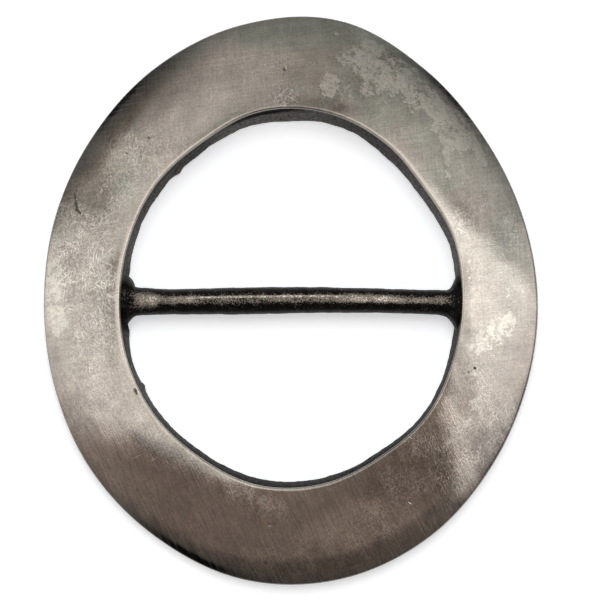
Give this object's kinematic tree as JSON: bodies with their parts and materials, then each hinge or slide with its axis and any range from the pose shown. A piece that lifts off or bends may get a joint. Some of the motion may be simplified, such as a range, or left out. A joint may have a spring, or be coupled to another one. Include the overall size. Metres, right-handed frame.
{
  "type": "plaid brooch",
  "caption": "Irregular oval plaid brooch: a broad domed metal ring with a round bar across the back of its hole, over which folded cloth is drawn.",
  "frame": {"origin": "middle of the outline, on the flat back", "axes": "+Z out of the face, +Y along the ring's long way, +X along the bar"},
  "size_m": [0.0692, 0.0798, 0.0048],
  "materials": {
    "antique_pewter": "brushed and antiqued, black in the hole's wall and along the bar"
  },
  "bodies": {
    "root": {"brooch": "antique_pewter"}
  },
  "joints": []
}
